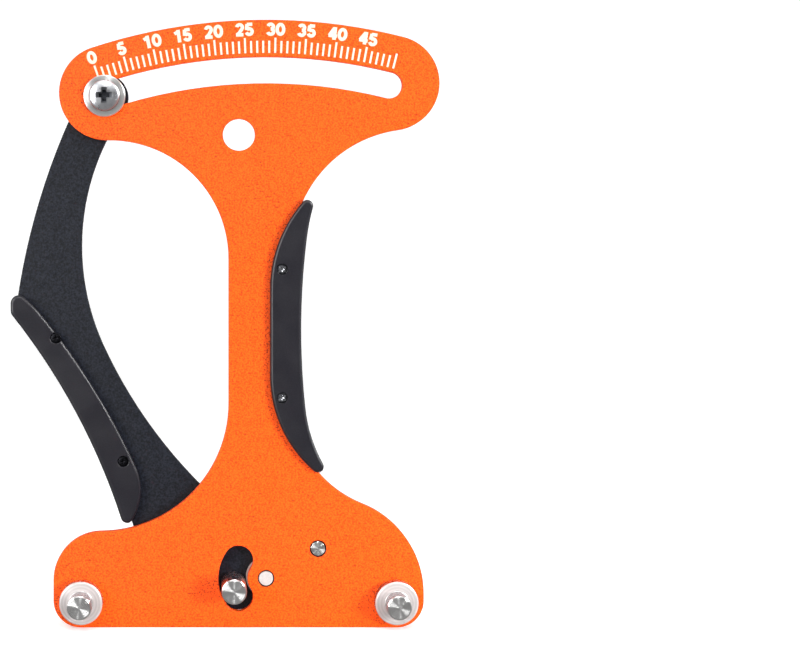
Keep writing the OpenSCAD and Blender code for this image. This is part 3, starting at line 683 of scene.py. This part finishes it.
def make_pointer_screw():
    """Pan head with a rounded rim and a tapered cross recess; its tip is threaded"""
    node = "pointer_screw"
    at = middle(node)
    front, back = depths(node)
    seat = front + HEAD_H
    dome = [[HEAD_R * math.sin(math.radians(a)), front + DOME_H * (1 - math.cos(math.radians(a)))]
            for a in range(DOME_STEP_DEG, 90, DOME_STEP_DEG)]
    first = back - TIP - THREADS * THREAD_PITCH
    threads = [[radius, first + i * THREAD_PITCH + step] for i in range(THREADS)
               for radius, step in ((SHANK_R, 0), (THREAD_ROOT_R, THREAD_PITCH / 2))]
    profile = [[POLE_R, front], *dome, [HEAD_R, front + RIM_FROM], [HEAD_R, seat - HEAD_HEEL],
               [HEAD_R - HEAD_HEEL, seat], [SHANK_R, seat], *threads, [TIP_R, back],
               [POLE_R, back]]
    piece = smoothed(turned("fine_" + node, at, profile))
    driver_recess(piece, at, front, RECESS_SPAN, RECESS_BLADE, RECESS_DEPTH)
    dress_node(piece, pan_zinc, node)
    # Painted shade: the recess and the rim that turns to the bush are given the dark steel, as they stay out of
    # the light
    low, high = at_depth(front + 0.5), at_depth(front + RECESS_DEPTH + 0.3)
    face_with(piece, painted_shade_steel, lambda centre, normal: low < centre.y < high
              and (off_axis(centre, at) < RECESS_SPAN / 2 - 0.1 or abs(normal.y) < SIDEWAYS))


NUT_EDGE = 0.08
# The cones that chamfer a nut start ahead of its faces, and end past its corners
CONE_R = 3.9
CONE_AHEAD = 0.2
CORNER_R = 4.7
CORNER_IN = 0.3


def make_pointer_nut():
    """A hexagon nut with the usual chamfers: it keeps what it shares with a double cone"""
    node = "pointer_nut"
    front, back = depths(node)
    piece = copied(node, "fine_" + node)
    chamfers = turned("nut_chamfers", middle(node), [
        [CONE_R, front - CONE_AHEAD], [CORNER_R, front + CORNER_IN],
        [CORNER_R, back - CORNER_IN], [CONE_R, back + CONE_AHEAD]])
    cut_from(piece, chamfers, "INTERSECT")
    return dress_node(rounded(piece, NUT_EDGE), zinc_plate, node)


WASHER_BORE_R = 3.52
WASHER_R = 7.05


def make_thrust_washer():
    """It shows a little beside the window's inner edge"""
    node = "thrust_washer"
    front, back = depths(node)
    piece = turned("fine_" + node, PIVOT, [
        [WASHER_BORE_R, front], [WASHER_R, front], [WASHER_R, back], [WASHER_BORE_R, back],
        [WASHER_BORE_R, front]])
    return dress_node(rounded(piece, TURNED_EDGE), nylon, node)


def make_faced():
    """The pointer bush and the spring post, whose faces show the rings of their turning"""
    for node, edge, roughness, sheen, metallic in (("pointer_bush", 0.15, 0.34, 0.9, 0.8),
                                                   ("spring_post", 0.12, 0.3, 1.0, 1.0)):
        steel = turned_metal("faced_" + node, middle(node), "#DEDDDB", "#D2D1D0",
                             roughness, sheen, 0.45, metallic)
        dress_node(rounded(copied(node, "fine_" + node), edge), steel, node)


# ---- Pieces whose CAD form needs only its edges rounded ----------------------------------

# The finish of each, and the rounding of its edges
REFINED = {
    "pivot_pin": (ground_steel, 0.12),
    "plate_grip_front": (grip_black, 0.12),
    "plate_grip_back": (grip_black, 0.12),
    "lever_grip_front": (grip_black, 0.3),
    "lever_grip_back": (grip_black, 0.3),
    "plate_grip_screws": (bright_zinc, 0.05),
    "lever_grip_screws": (black_oxide, 0.05),
    "left_post_screw": (zinc_plate, 0.15),
    "right_post_screw": (zinc_plate, 0.15),
    "middle_post_screw": (zinc_plate, 0.1),
    "spring_sleeve": (nylon, 0.15),
    "retaining_washer": (zinc_plate, 0.12),
    "retaining_ring": (clip_steel, 0.1),
    "pivot_bushing": (bearing_bronze, 0.12),
    "spring_pin": (zinc_plate, 0.1),
}
# A grip screw's recess lies this far behind its face. Its walls lean less to the front than
# the first share, and its floor more than the second
RECESS_FROM = 0.12
WALL_LEAN = 0.45
FLOOR_LEAN = 0.98


def make_refined():
    """Copies of the CAD pieces, dressed. The bright screws' recesses are given the dark steel as painted shade"""
    for node, (material, edge) in REFINED.items():
        dress_node(rounded(copied(node, "fine_" + node), edge), material, node)
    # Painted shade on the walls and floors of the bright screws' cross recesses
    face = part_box("plate_grip_screws")[0].y + RECESS_FROM * MM
    face_with(bpy.data.objects["fine_plate_grip_screws"], painted_shade_steel,
              lambda centre, normal: centre.y > face
              and not WALL_LEAN <= abs(normal.y) <= FLOOR_LEAN)


# ---- Torsion spring ----------------------------------------------------------------------

WIRE_R = 1.1
COIL_R = 8
COIL_TURNS = 4
COIL_PLAY = 0.3
LEG_PLAY = 0.1
LEG_SPARE = 4
LEG_END = 0.15
POST_R = 2.5
DEG_PER_STEP = 10


def unit(deg):
    """A step of 1 mm in this direction of the plate's plane"""
    return Vector((math.cos(math.radians(deg)), math.sin(math.radians(deg))))


def polar(node):
    """Distance of a stud from the pivot in mm, and its direction in degrees"""
    at = middle(node)
    return off_axis(at, PIVOT), math.degrees(math.atan2(at.z - PIVOT.z, at.x - PIVOT.x))


def make_spring():
    """Round wire: a leg on the lever's pin, the coil, and a leg on the plate's post"""
    low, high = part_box("spring_pin")
    ends = []
    for node, stud_r, side in (("spring_pin", (high.x - low.x) / 2 / MM, 1),
                               ("spring_post", POST_R, -1)):
        arm, deg = polar(node)
        clear = COIL_R + WIRE_R + stud_r + LEG_PLAY
        ends.append((deg + side * math.degrees(math.acos(clear / arm)),
                     math.sqrt(arm * arm - clear * clear) + LEG_SPARE))
    (first, first_leg), (last, last_leg) = ends
    front = depths("pivot_bushing")[1] + COIL_PLAY + WIRE_R
    back = depths("retaining_washer")[0] - COIL_PLAY - WIRE_R
    sweep = 360 * COIL_TURNS + last - first
    steps = math.ceil(sweep / DEG_PER_STEP)
    path = [(COIL_R * unit(first) - first_leg * unit(first + 90), front)]
    path += [(COIL_R * unit(first + sweep * i / steps), front + (back - front) * i / steps)
             for i in range(steps + 1)]
    path += [(COIL_R * unit(last) + last_leg * unit(last + 90), back)]
    piece = drawn_line([(PIVOT.x + at.x * MM, at_depth(depth), PIVOT.z + at.y * MM)
                        for at, depth in path], 2 * WIRE_R * MM)
    settle(piece, "wound_spring")
    # Only the wire's cut ends are this sharp
    rounded(piece, LEG_END, angle=60)
    piece.data.materials.clear()
    piece.data.materials.append(wire_steel)
    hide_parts("torsion_spring")
    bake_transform(piece)


make_scale_plate()
make_lever()
make_ticks()
make_numbers()
make_outer_post("left_post")
make_outer_post("right_post")
make_middle_post()
make_pointer_screw()
make_pointer_nut()
make_thrust_washer()
make_faced()
make_refined()
make_spring()


# ---- Floor, light and camera -------------------------------------------------------------

# The studio's sizes and places are in metres, and its lamps in watts
SWEEP_W = 4
SWEEP_FRONT = -0.25
SWEEP_BACK = 2.0
SWEEP_H = 3
SWEEP_BEND = 0.8
# Strengths of light: what the paper adds for the camera and shows to metal, what the air
# gives to matt surfaces, and the room that metal sees on the camera's side
PAPER_GLOW = 0.35
PAPER_MIRRORED = 0.3
AIR = 0.58
ROOM = 0.2


def white_paper():
    """Matt white paper with a faint tooth, drawn coarser than its fibres. The camera sees it
    brightened to plain white, and metal sees it dim"""
    material, place = new_material("white_paper")
    fibres = add_node(material, "TexNoise", {
        "Vector": place, "Scale": per_mm(2.5), "Detail": 2.0})
    tooth = add_node(material, "Bump", {
        "Height": fibres.outputs["Fac"], "Strength": 0.05, "Distance": 0.2 * MM})
    paper = add_node(material, "BsdfPrincipled", {
        "Base Color": WHITE, "Roughness": 0.9, "Normal": tooth.outputs["Normal"]})
    glow = add_node(material, "Emission", {"Color": WHITE, "Strength": PAPER_GLOW})
    bright = add_node(material, "AddShader", {
        0: paper.outputs["BSDF"], 1: glow.outputs["Emission"]})
    dim = add_node(material, "Emission", {"Color": WHITE, "Strength": PAPER_MIRRORED})
    ray = add_node(material, "LightPath")
    seen = add_node(material, "MixShader", {
        "Fac": ray.outputs["Is Camera Ray"], 1: paper.outputs["BSDF"],
        2: bright.outputs["Shader"]})
    sheet = add_node(material, "MixShader", {
        "Fac": ray.outputs["Is Glossy Ray"], 1: seen.outputs["Shader"],
        2: dim.outputs["Emission"]})
    add_node(material, "OutputMaterial", {"Surface": sheet.outputs["Shader"]})
    return material


def make_floor():
    """A pale sheet that lies under the meter and sweeps up behind it. It ends a little way in
    front, so what the metal mirrors from there is a dark room"""
    bpy.ops.mesh.primitive_plane_add(size=1, location=(0, (SWEEP_FRONT + SWEEP_BACK) / 2, 0))
    floor = bpy.context.object
    floor.scale = (SWEEP_W, SWEEP_BACK - SWEEP_FRONT, 1)
    settle(floor, "studio_sweep")
    bpy.ops.object.mode_set(mode="EDIT")
    bpy.ops.mesh.select_mode(type="EDGE")
    bpy.ops.mesh.select_all(action="DESELECT")
    bpy.ops.object.mode_set(mode="OBJECT")
    for edge in floor.data.edges:
        ends = [floor.data.vertices[i].co.y for i in edge.vertices]
        edge.select = min(ends) > SWEEP_BACK - 0.1
    bpy.ops.object.mode_set(mode="EDIT")
    bpy.ops.mesh.extrude_region_move(TRANSFORM_OT_translate={"value": (0, 0, SWEEP_H)})
    bpy.ops.object.mode_set(mode="OBJECT")
    bend = floor.modifiers.new("bend", "BEVEL")
    bend.width = SWEEP_BEND
    bend.segments = 24
    bpy.ops.object.modifier_apply(modifier=bend.name)
    bpy.ops.object.shade_smooth()
    floor.data.materials.append(white_paper())


def make_world():
    """White air: the camera sees it plain, matt surfaces get less of it, and metal sees it
    only behind and above the meter, with a dim room on the camera's side"""
    world = bpy.data.worlds.new("studio_air")
    bpy.context.scene.world = world
    world.use_nodes = True
    world.node_tree.nodes.clear()
    coordinates = add_node(world, "TexCoord")
    direction = add_node(world, "SeparateXYZ", {"Vector": coordinates.outputs["Generated"]})
    behind = add_node(world, "MapRange", {
        "Value": direction.outputs["Y"], "From Min": -0.3, "From Max": 0.2,
        "To Min": ROOM, "To Max": 1.0})
    above = add_node(world, "MapRange", {
        "Value": direction.outputs["Z"], "From Min": 0.35, "From Max": 0.8,
        "To Min": ROOM, "To Max": 1.0})
    light = add_node(world, "Math", {
        0: behind.outputs["Result"], 1: above.outputs["Result"]}, operation="MAXIMUM")
    plain = add_node(world, "Background", {"Color": WHITE, "Strength": AIR})
    room = add_node(world, "Background", {"Color": WHITE, "Strength": light.outputs["Value"]})
    white = add_node(world, "Background", {"Color": WHITE, "Strength": 1.0})
    ray = add_node(world, "LightPath")
    lit = add_node(world, "MixShader", {
        "Fac": ray.outputs["Is Glossy Ray"], 1: plain.outputs["Background"],
        2: room.outputs["Background"]})
    air = add_node(world, "MixShader", {
        "Fac": ray.outputs["Is Camera Ray"], 1: lit.outputs["Shader"],
        2: white.outputs["Background"]})
    add_node(world, "OutputWorld", {"Surface": air.outputs["Shader"]})


LAMP_AIM = Vector((0, 0, 0.1))


def add_lamp(name, place, size, watts, diffuse=True, glossy=True):
    """A soft box: an area lamp that faces the meter, for matt surfaces, metal or both"""
    bpy.ops.object.light_add(type="AREA", location=place)
    lamp = bpy.context.object
    lamp.name = name
    lamp.data.shape = "RECTANGLE"
    lamp.data.size, lamp.data.size_y = size
    lamp.data.energy = watts
    lamp.visible_diffuse = diffuse
    lamp.visible_glossy = glossy
    lamp.rotation_euler = (LAMP_AIM - Vector(place)).to_track_quat("-Z", "Y").to_euler()


def make_lights():
    """A low key on the right, a fill on the left and a box overhead. Only metal and gloss see
    the rest: a panel at the upper left, a strip overhead, and one at the upper right that
    stands level with the plate and grazes it, so that it draws the rounded edges"""
    add_lamp("key_box", (0.6, -0.62, 0.13), (0.25, 0.25), watts=7.6, glossy=False)
    add_lamp("fill_box", (-0.5, -1.0, 0.45), (0.5, 0.5), watts=3.2, glossy=False)
    add_lamp("top_box", (0.0, -0.35, 1.1), (0.9, 0.4), watts=2.8)
    add_lamp("left_panel", (-1.0, -0.85, 0.38), (0.4, 1.1), watts=38, diffuse=False)
    add_lamp("overhead_strip", (0.05, -0.6, 0.9), (0.12, 0.3), watts=5, diffuse=False)
    add_lamp("edge_strip", (0.83, -0.08, 0.6), (0.12, 0.4), watts=30, diffuse=False)


# The photograph was taken square on: what it shows at the pixel AHEAD is straight ahead of the
# lens. The pivot shows at PIVOT_PX. The lens is this distance from the plate's front, in mm
IMAGE = (800, 668)
AHEAD = (208, 262)
PIVOT_PX = (266, 578.5)
MM_PER_PX = 0.3548
DISTANCE = 563
SENSOR = 36


def make_camera():
    """The camera that took the photograph"""
    bpy.ops.object.camera_add(
        location=(PIVOT.x + (AHEAD[0] - PIVOT_PX[0]) * MM_PER_PX * MM, at_depth(-DISTANCE),
                  PIVOT.z + (PIVOT_PX[1] - AHEAD[1]) * MM_PER_PX * MM),
        rotation=(math.pi / 2, 0, 0))
    camera = bpy.context.object
    camera.name = "camera"
    camera.data.sensor_width = SENSOR
    camera.data.lens = SENSOR * DISTANCE / (MM_PER_PX * IMAGE[0])
    camera.data.shift_x = (IMAGE[0] / 2 - AHEAD[0]) / IMAGE[0]
    camera.data.shift_y = (AHEAD[1] - IMAGE[1] / 2) / IMAGE[0]
    camera.data.clip_start = 0.01
    bpy.context.scene.camera = camera


make_floor()
make_world()
make_lights()
make_camera()
bpy.context.scene.view_settings.view_transform = "Standard"
